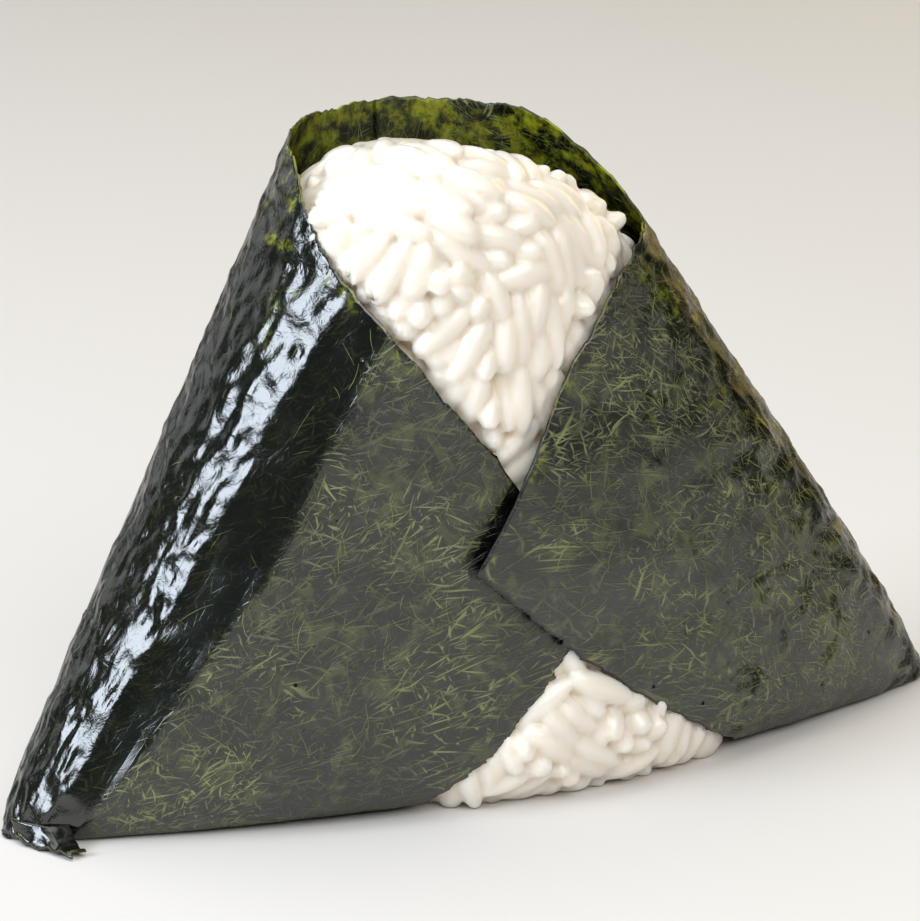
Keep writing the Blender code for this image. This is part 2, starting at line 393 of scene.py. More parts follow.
def rough(points, scale, seed=0.0):
    """Smooth noise from -1 to 1 at each point, with features of about `scale` metres."""
    shift = Vector((seed, seed * 1.7, seed * 2.3))
    return np.array([noise.noise(Vector(p) / scale + shift) for p in points.reshape(-1, 3)])


def ridges(points, seed=0.0):
    """Sharp-crested noise from about 0 to 1, at points already scaled to its feature size."""
    shift = Vector((seed, seed * 1.3, seed * 0.7))
    folded = [1 - abs(noise.noise(Vector(p) + shift)) * 2 for p in points.reshape(-1, 3)]
    return np.array(folded)


# ---------------------------------------------------------------- rice

def bareness(points, angle):
    """Distance in metres by which places of the rice lie clear of the nori; negative under it."""
    x, y, height = points[..., 0], points[..., 1] - MIDPLANE, points[..., 2]
    slant = 0.8  # of a level distance to a slanting edge, the share that lies square to it
    neck = np.maximum(height, RIGHT_FLAP_CORNER[1])
    left_share = (neck - LEFT_FLAP_CORNER[1]) / (LEFT_FLAP_TOP[1] - LEFT_FLAP_CORNER[1])
    left_x = mix(LEFT_FLAP_CORNER[0], LEFT_FLAP_TOP[0], left_share)
    edge_x, edge_height = right_flap_edge(np.linspace(1, 0, 25))
    right_x = np.interp(neck, edge_height, edge_x)
    in_neck = slant * np.minimum(x - left_x, right_x - x)
    foot_left = mix(LEFT_FLAP_FOOT, LEFT_FLAP_CORNER[0], height / LEFT_FLAP_CORNER[1])
    foot_right = mix(RIGHT_FLAP_FOOT, RIGHT_FLAP_CORNER[0], height / RIGHT_FLAP_CORNER[1])
    in_foot = slant * np.minimum(x - foot_left, foot_right - x)
    front = np.where(y < -3 * MM, np.maximum(in_neck, in_foot), -1.0)
    wrapped = np.mod(angle + math.pi / 2, TURN) - math.pi / 2
    above = height - collar_height(wrapped)
    hem = wrap_points(angle, np.full(np.shape(angle), -TUCK))[..., 1] - MIDPLANE
    below = np.where(height < 2 * MM, np.abs(hem) - np.abs(y), -1.0)
    return np.maximum(np.maximum(front, above), below)


def bulge(points, angle):
    """Share by which the rice swells out between the flaps, from 0 to 1."""
    y = points[..., 1] - MIDPLANE
    forward = ease(2 * MM, 8 * MM, -y)
    beside_flap = ease(-4 * MM, 2 * MM, points[..., 0]) * ease(30 * MM, 36 * MM, points[..., 2])
    under_lifted_flap = 0.5 * MM * beside_flap
    return forward * ease(0.0, 3.4 * MM, np.where(y < 0, bareness(points, angle) + under_lifted_flap, 0.0))


def rice_points(angle, row, inset):
    """Surface of the pressed rice from the middle of its underside (row 0) to its top (row 1)."""
    rim = wrap_points(angle, np.zeros_like(angle), -inset, RICE_HALF_WIDTH)
    share = np.clip(row / UNDERSIDE_SHARE, 0.0, 1.0)
    under = stack(rim[..., 0] * share, MIDPLANE + (rim[..., 1] - MIDPLANE) * share, rim[..., 2])
    wall_share = (row - UNDERSIDE_SHARE) / (1 - DOME_SHARE - UNDERSIDE_SHARE)
    wall = wrap_points(angle, wall_share * climb_to(RICE_DOME_START), -inset, RICE_HALF_WIDTH)
    turn = np.clip((row - 1 + DOME_SHARE) / DOME_SHARE, 0.0, 1.0) * math.pi / 2
    rise = (RICE_TOP - RICE_DOME_START) * np.sin(turn)
    crown = wrap_points(angle, climb_to(RICE_DOME_START + rise), -inset, RICE_HALF_WIDTH)
    narrowing = np.cos(turn) ** DOME_FULLNESS
    x = mix(COLLAR_SHIFT, crown[..., 0], narrowing)
    tilt = RICE_TOP_TILT * (x - COLLAR_SHIFT) * np.sin(turn)
    dome = stack(x, MIDPLANE + (crown[..., 1] - MIDPLANE) * narrowing, crown[..., 2] - tilt)
    row = row[..., None]
    return np.where(row < UNDERSIDE_SHARE, under, np.where(row < 1 - DOME_SHARE, wall, dome))


def even_angles(count):
    """Normal angles that divide the outline at mid-height into equal lengths."""
    fine = np.linspace(0, TURN, 1441)
    ring = wrap_points(fine, climb_to(np.full_like(fine, COLLAR_HEIGHT / 2)))
    steps = np.linalg.norm(np.diff(ring, axis=0), axis=1)
    lengths = np.concatenate([[0.0], np.cumsum(steps)])
    return np.interp(lengths[-1] * np.arange(count) / count, lengths, fine)


def rice_skin(segments, rings, inset, swell):
    """A closed skin of the rice: its bmesh, and each vertex's place and bareness."""
    skin = bmesh.new()
    bmesh.ops.create_uvsphere(skin, u_segments=segments, v_segments=rings, radius=1.0)
    start = np.array([v.co[:] for v in skin.verts])
    segment = np.rint(np.arctan2(start[:, 1], start[:, 0]) / TURN * segments).astype(int) % segments
    angle = even_angles(segments)[segment]
    row = np.arccos(np.clip(-start[:, 2], -1.0, 1.0)) / math.pi
    places = rice_points(angle, row, inset)
    bare = bareness(places, angle)
    move_vertices(skin, places)
    normals = np.array([v.normal[:] for v in skin.verts])
    places = places + normals * (swell * bulge(places, angle))[:, None]
    move_vertices(skin, places)
    return skin, places, bare


def rice_material(name, colour, shade_colour, roughness, scatter, loose=True):
    """Cooked rice: light sinks in and comes out again, under a moist surface."""
    made, tree, shader = make_material(name, roughness)
    place = add_node(tree, "ShaderNodeTexCoord").outputs["Object"]
    cloud = add_steps(tree, add_noise(tree, place, 260.0, 3.0), 0.38, 0.68)
    clear = tuple(c * 0.95 for c in colour)
    tone = add_colour_mix(tree, add_sum(tree, 'MULTIPLY', cloud, 0.5), colour, clear)
    if loose:
        tone = add_colour_mix(tree, add_steps(tree, add_attribute(tree, "tone"), 0.4, 1.0), tone, clear)
        # Seams between grains and places sunk under the skin take the paste colour. This is partly the
        # paste's own colour and partly painted shade in the gaps.
        sunk_shade = add_steps(tree, add_attribute(tree, "depth"), 0.25, 1.0)
        seam_shade = add_steps(tree, add_attribute(tree, "seam_shade"), 0.0, 1.0, 0.0, 0.42)
        tone = add_colour_mix(tree, add_sum(tree, 'MAXIMUM', sunk_shade, seam_shade), tone, shade_colour)
    tree.links.new(tone, shader.inputs["Base Color"])
    shader.inputs["Subsurface Weight"].default_value = 1.0
    shader.inputs["Subsurface Radius"].default_value = (1.0, 0.88, 0.72)
    shader.inputs["Subsurface Scale"].default_value = scatter
    shader.inputs["Coat Weight"].default_value = 0.35
    shader.inputs["Coat Roughness"].default_value = 0.14
    add_bump(tree, shader, add_noise(tree, place, 1100.0, 3.0), 0.06 * MM, 0.4)
    return made


def make_rice_core(settings):
    """The pressed rice behind the loose grains, set in under them."""
    inset, swell, lump = 2.6 * MM, 1.0 * MM, 0.3 * MM
    skin, places, bare = rice_skin(120, 80, inset, swell)
    normals = np.array([v.normal[:] for v in skin.verts])
    lumps = rough(places, 2.6 * MM, 3.0) * ease(-4 * MM, 0.0, bare)
    places = places + normals * (lump * lumps)[:, None]
    move_vertices(skin, places)
    core = add_object("rice_core", mesh_from(skin, "rice_core"), rice_material(
        "pressed rice", settings.paste_and_shade_colour, settings.paste_and_shade_colour, 0.42, 3.0 * MM, False))
    join_piece(core, "rice_ball")


def ordered_triangles(skin):
    """The skin's faces as triangles, in an order that is the same each run."""
    triangles = []
    for face in skin.faces:
        ring = [v.index for v in face.verts]
        first = ring.index(min(ring))
        ring = ring[first:] + ring[:first]
        triangles += [(ring[0], ring[k], ring[k + 1]) for k in range(1, len(ring) - 1)]
    return np.array(sorted(triangles))


def scatter_starts(places, faces, bare, count, rng):
    """Random places on the bare skin, at least a little apart, with the skin's normals there."""
    corners = places[faces]
    normals = np.cross(corners[:, 1] - corners[:, 0], corners[:, 2] - corners[:, 0])
    sizes = np.linalg.norm(normals, axis=1)
    open_faces = bare[faces].mean(axis=1) > -3.4 * MM
    chance = np.where(open_faces, sizes, 0.0)
    chance /= chance.sum()
    picks = rng.choice(len(faces), size=count * 14, p=chance)
    weights = rng.dirichlet((1, 1, 1), size=len(picks))
    spots = (corners[picks] * weights[:, :, None]).sum(axis=1)
    apart = 3.3 * MM
    chosen = []
    for _ in range(14):
        for i, spot in enumerate(spots):
            if len(chosen) >= count:
                break
            near = spots[chosen] - spot if chosen else np.empty((0, 3))
            if i not in chosen and (not len(near) or (near ** 2).sum(axis=1).min() > apart ** 2):
                chosen.append(i)
        apart *= 0.82
    chosen = np.array(chosen[:count])
    picked = picks[chosen]
    return spots[chosen], normals[picked] / sizes[picked][:, None], bare[faces[picked]].mean(axis=1)


def closest_shares(start, along, other, other_along):
    """How far along each of two segments they come closest to each other."""
    between = start - other
    a = (along * along).sum(-1)
    b = (along * other_along).sum(-1)
    c = (other_along * other_along).sum(-1)
    f = (along * between).sum(-1)
    g = (other_along * between).sum(-1)
    spread = np.maximum(a * c - b * b, 1e-18)
    share = np.clip((b * g - c * f) / spread, 0.0, 1.0)
    other_share = np.clip((b * share + g) / c, 0.0, 1.0)
    return np.clip((b * other_share - f) / a, 0.0, 1.0), other_share


def settle(ends, radii, depths, rise, skin_tree, steps):
    """Presses the grains together: they push each other apart and stay at their depth under the skin."""
    contact, yielding, firm_hold, last_hold, last_steps = 0.95, 0.34, 0.25, 0.1, 12
    lengths = np.linalg.norm(ends[:, 1] - ends[:, 0], axis=1)
    first, second = np.triu_indices(len(ends), 1)
    reach = lengths.max() + 2 * radii.max()
    for step in range(steps):
        centres = ends.mean(axis=1)
        near = np.abs(centres[first] - centres[second]).max(axis=1) < reach
        i, j = first[near], second[near]
        along, other_along = ends[i, 1] - ends[i, 0], ends[j, 1] - ends[j, 0]
        share, other_share = closest_shares(ends[i, 0], along, ends[j, 0], other_along)
        gap = ends[i, 0] + along * share[:, None] - ends[j, 0] - other_along * other_share[:, None]
        distance = np.maximum(np.linalg.norm(gap, axis=1), 1e-7)
        overlap = np.maximum(contact * (radii[i] + radii[j]) - distance, 0.0)
        push = gap / distance[:, None] * (yielding * overlap)[:, None]
        for grain, part, way in ((i, share, 1.0), (j, other_share, -1.0)):
            np.add.at(ends[:, 0], grain, way * push * (1 - part)[:, None])
            np.add.at(ends[:, 1], grain, way * push * part[:, None])
        hold = firm_hold if step < steps - last_steps else last_hold
        for grain in range(len(ends)):
            for end in (0, 1):
                found, normal, _, _ = skin_tree.find_nearest(ends[grain, end])
                height = float(np.dot(ends[grain, end] - np.array(found), np.array(normal)))
                target = -depths[grain]
                pull = (target - height) * hold
                if height > rise[grain]:
                    pull = rise[grain] - height
                ends[grain, end] += np.array(normal) * pull
        centres = ends.mean(axis=1)
        half = ends[:, 1] - centres
        half *= (lengths / 2 / np.linalg.norm(half, axis=1))[:, None]
        ends[:, 0], ends[:, 1] = centres - half, centres + half
    return ends


def grain_shape():
    """A round form with its poles on X, from -1 to 1, which each grain stretches and bends its own way."""
    grain = bmesh.new()
    bmesh.ops.create_uvsphere(grain, u_segments=8, v_segments=6, radius=1.0)
    quarter_turn = ((0.0, 0.0, 1.0), (0.0, 1.0, 0.0), (-1.0, 0.0, 0.0))
    for vertex in grain.verts:
        vertex.co = [sum(row[k] * vertex.co[k] for k in range(3)) for row in quarter_turn]
    bmesh.ops.recalc_face_normals(grain, faces=grain.faces)
    return mesh_from(grain, "grain shape")


def paste_slab():
    """The pressed rice just under the bare grains, as a closed slab."""
    inset, swell, thickness = 2.15 * MM, 1.6 * MM, 1.6 * MM
    slab, _, bare = rice_skin(110, 84, inset, swell)
    slab.verts.ensure_lookup_table()
    covered = [f for f in slab.faces if max(bare[v.index] for v in f.verts) < -4 * MM]
    bmesh.ops.delete(slab, geom=covered, context='FACES')
    bmesh.ops.solidify(slab, geom=slab.faces[:], thickness=thickness)
    bmesh.ops.recalc_face_normals(slab, faces=slab.faces)
    return mesh_from(slab, "paste slab")


def fused(mesh, voxel, most):
    """One closed skin round everything in the mesh, of at most about `most` triangles."""
    holder = bpy.data.objects.new("to fuse", mesh)
    bpy.context.scene.collection.objects.link(holder)
    rounding = holder.modifiers.new("rounding", 'SUBSURF')
    rounding.levels = rounding.render_levels = 1
    weld = holder.modifiers.new("weld", 'REMESH')
    weld.mode = 'VOXEL'
    weld.voxel_size = voxel
    soften = holder.modifiers.new("soften", 'SMOOTH')
    soften.factor, soften.iterations = 0.35, 1
    ready = holder.evaluated_get(bpy.context.evaluated_depsgraph_get())
    fine = 2 * len(ready.to_mesh().polygons)
    ready.to_mesh_clear()
    thin = holder.modifiers.new("thin", 'DECIMATE')
    thin.ratio = min(1.0, most / fine)
    ready = holder.evaluated_get(bpy.context.evaluated_depsgraph_get())
    skin = bmesh.new()
    skin.from_mesh(ready.to_mesh())
    ready.to_mesh_clear()
    bpy.data.objects.remove(holder)
    return skin


def lay_grains(spots, normals, clear, length, width, rng):
    """Where the grains' ends start, how deep each lies under the skin, and how far it may rise."""
    count = len(spots)
    radii = width / 2
    swirl = 13 * MM
    lie = np.array([noise.noise(Vector(p) / swirl) for p in spots]) * 3.6 + rng.normal(0, 0.75, count)
    fan = math.radians(90) - np.clip(spots[:, 0] / MM, -12, 15) * math.radians(4.4)
    fan = fan + rng.normal(0, 0.33, count)
    fanned = (normals[:, 1] < -0.5) & (spots[:, 2] > 26 * MM) & (spots[:, 2] < 62 * MM)
    lie = np.where(fanned, fan, lie)
    around = np.cross(normals, (0.0, 0.0, 1.0)) + 1e-6
    around /= np.linalg.norm(around, axis=1, keepdims=True)
    steep = np.cross(around, normals)
    tilt = rng.normal(0, 0.35, count)
    way = around * np.cos(lie)[:, None] + steep * np.sin(lie)[:, None]
    way = way * np.cos(tilt)[:, None] + normals * np.sin(tilt)[:, None]
    rise = -0.92 * radii + 0.5 * MM * ease(2 * MM, 5 * MM, clear) * rng.uniform(0, 1, count) ** 2
    shoulder = (spots[:, 0] < -9 * MM) & (spots[:, 2] > 60 * MM)
    rise = rise + shoulder * ease(1.5 * MM, 3.5 * MM, clear) * rng.uniform(0, 1.2 * MM, count)
    beside_nori = 0.55 * MM * (1 - ease(0.0, 2.6 * MM, clear))
    depths = -rise + np.abs(rng.normal(0, 0.65 * MM, count)) + beside_nori
    middle = spots - normals * depths[:, None]
    half = way * ((length - width) / 2)[:, None]
    return np.stack([middle - half, middle + half], axis=1), depths, rise


def heap_of_grains(ends, length, width, rng):
    """All the grains and the pressed slab under them, as one mesh of overlapping closed forms."""
    count = len(ends)
    shape = grain_shape()
    heap = bmesh.new()
    for _ in range(count):
        heap.from_mesh(shape)
    base = np.array([v.co[:] for v in shape.vertices])
    bpy.data.meshes.remove(shape)
    middle = ends.mean(axis=1)
    axis = ends[:, 1] - ends[:, 0]
    axis /= np.linalg.norm(axis, axis=1, keepdims=True)
    side = np.cross(axis, rng.normal(0, 1, (count, 3)))
    side /= np.linalg.norm(side, axis=1, keepdims=True)
    flat = np.cross(axis, side)
    cage_swell, bluntness, dent_depth = 1.19, 0.96, 0.11 * MM
    along = base[:, 0]
    heap.verts.ensure_lookup_table()
    for n in range(count):
        half_length, half_width = length[n] / 2 * cage_swell, width[n] / 2 * cage_swell
        bend = rng.uniform(-0.2, 0.2)
        fullness = 1 + rng.uniform(-0.2, 0.2) * along
        x = np.sign(along) * np.abs(along) ** bluntness * half_length
        y = base[:, 1] * half_width * fullness + bend * (along ** 2 - 0.4) * width[n]
        z = base[:, 2] * half_width * fullness * rng.uniform(0.8, 0.96)
        place = middle[n] + x[:, None] * axis[n] + y[:, None] * side[n] + z[:, None] * flat[n]
        dent = rng.uniform(-1, 1, (len(base), 3)) * dent_depth
        for k, spot in enumerate(place + dent):
            heap.verts[n * len(base) + k].co = spot
    slab = paste_slab()
    heap.from_mesh(slab)
    bpy.data.meshes.remove(slab)
    return mesh_from(heap, "loose grains")


def keep_under_nori(skin, skin_tree, faces, bare):
    """Presses the grains' skin down beside the nori; gives each vertex's depth as a share of a grain."""
    soft, shallow, floor_gap, deep = 0.5 * MM, 0.4 * MM, 0.05 * MM, 1.8 * MM
    depth = []
    for vertex in skin.verts:
        found, facing, face, _ = skin_tree.find_nearest(vertex.co)
        height = (vertex.co - found).dot(facing)
        free = 0.8 * MM * float(ease(0.5 * MM, 2.5 * MM, bare[faces[face]].mean())) - shallow
        if height > free:
            vertex.co -= facing * (height - free - soft * (1 - math.exp((free - height) / soft)))
        vertex.co.z = max(vertex.co.z, floor_gap)
        depth.append(-height / deep)
    return depth


def tones_and_seams(skin, ends, rng):
    """Each vertex's tone, the same all over one grain, and how close it lies to the next grain."""
    owners = KDTree(len(ends) * 5)
    for n, (start, end) in enumerate(ends):
        for share in (0.0, 0.25, 0.5, 0.75, 1.0):
            owners.insert(mix(start, end, share), n)
    owners.balance()
    seam_width = 0.4 * MM
    tones = rng.uniform(0, 1, len(ends))
    tone, seam_shade = [], []
    for vertex in skin.verts:
        near = owners.find_n(vertex.co, 9)
        _, nearest, distance = near[0]
        others = [other for _, owner, other in near if owner != nearest]
        lead = (others[0] - distance) if others else MM
        seam_shade.append(max(0.0, 1 - lead / seam_width))
        tone.append(tones[nearest])
    return tone, seam_shade


def make_rice_grains(settings):
    """The grains of the bare parts, pressed against each other under the ball's outline."""
    rng = np.random.default_rng(12)
    inset, swell = 0.45 * MM, 1.75 * MM
    skin, places, bare = rice_skin(140, 110, inset, swell)
    faces = ordered_triangles(skin)
    skin_tree = BVHTree.FromPolygons(places.tolist(), faces.tolist())
    skin.free()
    spots, normals, clear = scatter_starts(places, faces, bare, settings.grain_count, rng)
    length = settings.grain_length * rng.uniform(0.82, 1.12, len(spots))
    width = settings.grain_width * rng.uniform(0.86, 1.08, len(spots))
    ends, depths, rise = lay_grains(spots, normals, clear, length, width, rng)
    ends = settle(ends, width / 2, depths, rise, skin_tree, 60)
    heap = heap_of_grains(ends, length, width, rng)
    skin = fused(heap, settings.fineness, GRAIN_TRIANGLES)
    depth = keep_under_nori(skin, skin_tree, faces, bare)
    tone, seam_shade = tones_and_seams(skin, ends, rng)
    mesh = mesh_from(skin, "rice_grains")
    store(mesh, "tone", tone)
    store(mesh, "seam_shade", seam_shade)
    store(mesh, "depth", depth)
    grains = add_object("rice_grains", mesh, rice_material(
        "cooked grain", settings.grain_colour, settings.paste_and_shade_colour, 0.30, 1.9 * MM))
    join_piece(grains, "rice_ball")


# ---------------------------------------------------------------- nori

def sheet_columns(flap, end, back):
    """Foot angle, top angle and top height of the sheet's columns, left flap to right flap."""
    arc = arc_half_range()
    left_end, right_end = 1.5 * math.pi - arc, -0.5 * math.pi + arc
    left_foot = float(front_angle(LEFT_FLAP_FOOT, 0.0))
    right_foot = float(front_angle(RIGHT_FLAP_FOOT, 0.0)) - TURN
    shoulder = float(front_angle(*LEFT_FLAP_TOP))
    far_shoulder = float(front_angle(*RIGHT_FLAP_TOP)) - TURN
    edge_angles = np.array([shoulder, *[math.radians(a) for a, _ in COLLAR_EDGE], far_shoulder])
    edge_heights = np.array([LEFT_FLAP_TOP[1], *[h for _, h in COLLAR_EDGE], RIGHT_FLAP_TOP[1]])

    share = np.arange(flap) / flap
    x, height = left_flap_edge(share)
    parts = [(mix(left_foot, left_end, share), front_angle(x, height), height)]
    feet = (left_end, math.pi / 2 + arc, math.pi / 2 - arc, right_end)
    tops = (shoulder, math.radians(140), math.radians(40), far_shoulder)
    for k, count in enumerate((end, back, end)):
        share = np.arange(count) / count
        top = mix(tops[k], tops[k + 1], share)
        height = np.interp(-top, -edge_angles, edge_heights)
        parts.append((mix(feet[k], feet[k + 1], share), top, height))
    share = np.arange(flap + 1) / flap
    x, height = right_flap_edge(share)
    parts.append((mix(right_end, right_foot, share), front_angle(x, height) - TURN, height))
    return [np.concatenate([part[k] for part in parts]) for k in range(3)]


def flap_offset(column, last, flap, height):
    """How far the sheet stands off: the right flap lies over the left one and its corner lifts."""
    over = ease(last - 1.9 * flap, last - 0.8 * flap, column)
    clear = ease(2 * MM, 15 * MM, height)
    corner = ease(last - 0.5 * flap, last, column)
    resting = mix(1.0, 0.35, ease(36 * MM, 44 * MM, height))
    return FLAP_LIFT * over * clear * resting + CORNER_LIFT * corner * ease(18 * MM, 27 * MM, height)


def edge_nicks(count, depth, seed):
    """Nicks and small tatters along a cut edge, as a change of height for each column."""
    marks = np.stack([np.arange(count) * 0.9, np.full(count, seed), np.zeros(count)], axis=1)
    coarse = rough(marks * MM, 5 * MM, seed)
    fine = rough(marks * MM, 1.3 * MM, seed + 4)
    tatter = np.maximum(rough(marks * MM, 2.4 * MM, seed + 9) - 0.42, 0.0) * 4
    return depth * (1.2 * coarse + 0.7 * fine + tatter)


def band_share(angle, low, high, soft):
    """1 for normals between two angles, fading over `soft` at both sides."""
    return ease(low - soft, low, angle) * (1 - ease(high, high + soft, angle))


def left_of_fold(places):
    """How far places lie to the left of the soft fold where the flat front ends."""
    return (np.interp(places[..., 2], FOLD_HEIGHTS, FOLD_X) - places[..., 0]) * 0.84


def past_fold(places):
    """1 to the left of the soft fold and 0 to its right, with a slightly wavy border."""
    return ease(-0.8 * MM, 1.0 * MM, left_of_fold(places) + 0.9 * MM * rough(places, 2.5 * MM, 14.0))


def fold_height(place, angle, climb):
    """The sheet falls away to the left of its soft fold, up to the turn of the left end."""
    tip = wrap_points(np.full_like(angle, math.pi), climb)
    away = left_of_fold(np.where((angle < math.pi)[:, None], tip, place)) * (angle > 0.5 * math.pi)
    return -math.tan(FOLD_TILT) * np.maximum(away, 0.0) * ease(0.0, 0.8 * MM, away)


def crinkles(place, angle, climb, length, settings):
    """Height of the sheet's relief: sharp lengthwise crinkles on its folded ends, soft swells elsewhere."""
    left = band_share(angle, math.radians(150), math.radians(241.5), math.radians(2.5))
    right = band_share(angle, math.radians(-62), math.radians(35), math.radians(6))
    streaks = stack(length / (2.4 * MM), climb / (5.0 * MM), 0.0)
    wander = stack(rough(place, 9 * MM, 2.0), rough(place, 9 * MM, 5.0), 0.0)
    long_folds = ridges(streaks + wander * 0.8, 1.0)
    fine_folds = ridges(stack(length / (1.5 * MM), climb / (2.2 * MM), 0.0) + wander, 7.0)
    small = rough(place, 1.4 * MM, 3.0)
    dents = rough(place, 3.4 * MM, 6.0)
    folded = 0.45 * long_folds + 0.45 * fine_folds + 0.45 * small + 0.7 * dents
    swell = 0.75 * rough(place, 8 * MM, 8.0) + 0.35 * rough(place, 3.1 * MM, 4.0) + 0.10 * small
    ends = np.maximum(left, 0.85 * right)
    right_flap = ease(8 * MM, 22 * MM, place[:, 0]) * (place[:, 1] < 0)
    return settings.crinkle * mix((0.5 + 0.35 * right_flap) * swell, 0.8 * folded - 0.2, ends)


def add_slit_shade(tree, tone):
    """Painted shade: black inside the slit under the lifted flap, and the tone as it is elsewhere."""
    inside = add_steps(tree, add_attribute(tree, "slit"), 0.0, 0.1 * MM)
    return add_colour_mix(tree, inside, tone, (0.0, 0.0, 0.0))


def add_felt(tree, spot, turn, fineness, low, high):
    """Short streaks lying one way across the sheet, from 0 to 1."""
    bend = add_node(tree, "ShaderNodeTexNoise", Scale=12.0, Detail=1.0)
    tree.links.new(spot, bend.inputs["Vector"])
    sway = add_node(tree, "ShaderNodeVectorMath", operation='SCALE')
    tree.links.new(bend.outputs["Color"], sway.inputs[0])
    sway.inputs["Scale"].default_value = 0.035
    bent = add_node(tree, "ShaderNodeVectorMath", operation='ADD')
    tree.links.new(spot, bent.inputs[0])
    tree.links.new(sway.outputs[0], bent.inputs[1])
    lay = add_node(tree, "ShaderNodeMapping", vector_type='TEXTURE')
    lay.inputs["Location"].default_value = (turn, 0.3 * turn, 0.0)
    lay.inputs["Rotation"].default_value = (0.0, 0.0, turn)
    lay.inputs["Scale"].default_value = (12.0, 1.0, 1.0)
    tree.links.new(bent.outputs[0], lay.inputs["Vector"])
    return add_steps(tree, add_noise(tree, lay.outputs["Vector"], fineness, 1.5, 0.5), low, high)


def nori_material(name, settings, thin, shine):
    """Dry nori: dark green felt with paler streaks, blots, pinholes and thin places, under a satin glaze.
    Thin places are painted with the light that comes through them, and the slit and the dim side past the
    fold are painted shade.
    """
    made, tree, shader = make_material(name, 0.30)
    shader.inputs["IOR"].default_value = shine
    place = add_node(tree, "ShaderNodeTexCoord").outputs["Object"]
    spot = add_node(tree, "ShaderNodeUVMap", uv_map="sheet").outputs["UV"]
    felt = None
    for turn, fineness in ((0.35, 330.0), (0.95, 400.0), (1.6, 360.0), (2.2, 310.0), (2.8, 380.0)):
        strands = add_felt(tree, spot, turn, fineness, 0.60, 0.74)
        felt = strands if felt is None else add_sum(tree, 'MAXIMUM', felt, strands)
    blot = add_steps(tree, add_noise(tree, place, 330.0, 4.0, 0.6, 0.8), 0.50, 0.68)
    blotted = add_steps(tree, add_noise(tree, place, 110.0, 2.0), 0.40, 0.62, 0.25, 1.0)
    base = add_colour_mix(tree, add_steps(tree, add_noise(tree, place, 160.0, 4.0), 0.4, 0.65),
                          settings.dark_colour, tuple(c * 1.9 for c in settings.dark_colour))
    # Where the glaze mark is set, at the left end past the fold and partly at the right end, the base is
    # darkened and the paler blots and streaks fade out: painted shade. The same mark also makes these ends
    # glossier.
    glaze = add_attribute(tree, "glaze")
    fold_shade_colour = tuple(c * share for c, share in zip(settings.dark_colour, (0.25, 0.4, 0.2)))
    base = add_colour_mix(tree, glaze, base, fold_shade_colour)
    unshaded_share = add_steps(tree, glaze, 0.0, 0.9, 1.0, 0.08)
    blot = add_sum(tree, 'MULTIPLY', blot, add_sum(tree, 'MULTIPLY', unshaded_share, 0.6))
    tone = add_colour_mix(tree, blot, base, settings.felt_colour)
    streak = add_sum(tree, 'MULTIPLY', add_sum(tree, 'MULTIPLY', felt, blotted), unshaded_share)
    tone = add_colour_mix(tree, streak, tone, tuple(c * 0.7 for c in settings.strand_colour))
    # Thin places take the thin colour: painted light coming through the sheet.
    thin_patch = add_steps(tree, add_noise(tree, place, 330.0, 5.0, 0.7), thin[0], thin[1])
    thin_share = add_sum(tree, 'MULTIPLY', thin_patch, add_attribute(tree, "thin"))
    tone = add_colour_mix(tree, thin_share, tone, settings.thin_colour)
    tone = add_slit_shade(tree, tone)
    hole = add_node(tree, "ShaderNodeTexVoronoi", Scale=190.0, Randomness=1.0)
    tree.links.new(place, hole.inputs["Vector"])
    rare = add_steps(tree, add_noise(tree, place, 60.0, 2.0), 0.45, 0.55)
    pit = add_steps(tree, hole.outputs["Distance"], 0.025, 0.06, 1.0, 0.0)
    pit = add_sum(tree, 'MULTIPLY', pit, rare)
    tone = add_colour_mix(tree, pit, tone, (0.001, 0.0015, 0.001))
    tree.links.new(tone, shader.inputs["Base Color"])
    patch = add_sum(tree, 'ADD', add_noise(tree, place, 120.0, 6.0, 0.68, 0.5),
                    add_sum(tree, 'MULTIPLY', add_attribute(tree, "dull"), 0.34))
    dull = add_sum(tree, 'MAXIMUM', pit, add_steps(tree, patch, 0.74, 0.84))
    tree.links.new(add_steps(tree, dull, 0.0, 1.0, 0.5, 0.06), shader.inputs["Specular IOR Level"])
    matt = add_steps(tree, add_noise(tree, place, 420.0, 3.0), 0.35, 0.7, 0.25, 0.38)
    matt = add_sum(tree, 'ADD', matt, add_sum(tree, 'MULTIPLY', add_sum(tree, 'MAXIMUM', streak, pit), 0.25))
    gloss = add_node(tree, "ShaderNodeMix", data_type='FLOAT')
    tree.links.new(glaze, gloss.inputs[0])
    tree.links.new(matt, gloss.inputs[2])
    gloss.inputs[3].default_value = 0.17
    tree.links.new(gloss.outputs[0], shader.inputs["Roughness"])
    rumple = add_sum(tree, 'ADD', add_steps(tree, add_attribute(tree, "crumple"), 0.0, 0.9, 0.06, 1.5),
                     add_steps(tree, glaze, 0.0, 0.9, 0.44, 0.0))
    grit = add_sum(tree, 'MULTIPLY', add_noise(tree, place, 650.0, 4.0, 0.6, 0.6), rumple)
    raised = add_sum(tree, 'MULTIPLY', felt, add_steps(tree, glaze, 0.0, 0.9, 0.5, 0.07))
    relief = add_sum(tree, 'ADD', raised, grit)
    relief = add_sum(tree, 'SUBTRACT', relief, add_sum(tree, 'MULTIPLY', pit, 1.5))
    fold = add_node(tree, "ShaderNodeBump", Strength=1.0, Distance=1.0)
    tree.links.new(add_attribute(tree, "fold"), fold.inputs["Height"])
    add_bump(tree, shader, relief, 0.10 * MM, 0.6, fold.outputs["Normal"])
    return made


def edge_material(settings):
    """The sheet's cut edge, where light comes through its thin torn felt."""
    made, tree, shader = make_material("nori cut edge", 0.6)
    place = add_node(tree, "ShaderNodeTexCoord").outputs["Object"]
    torn = add_steps(tree, add_noise(tree, place, 300.0, 4.0), 0.46, 0.62)
    tone = add_colour_mix(tree, torn, tuple(c * 0.12 for c in settings.strand_colour), settings.thin_colour)
    tone = add_slit_shade(tree, tone)
    tree.links.new(tone, shader.inputs["Base Color"])
    return made


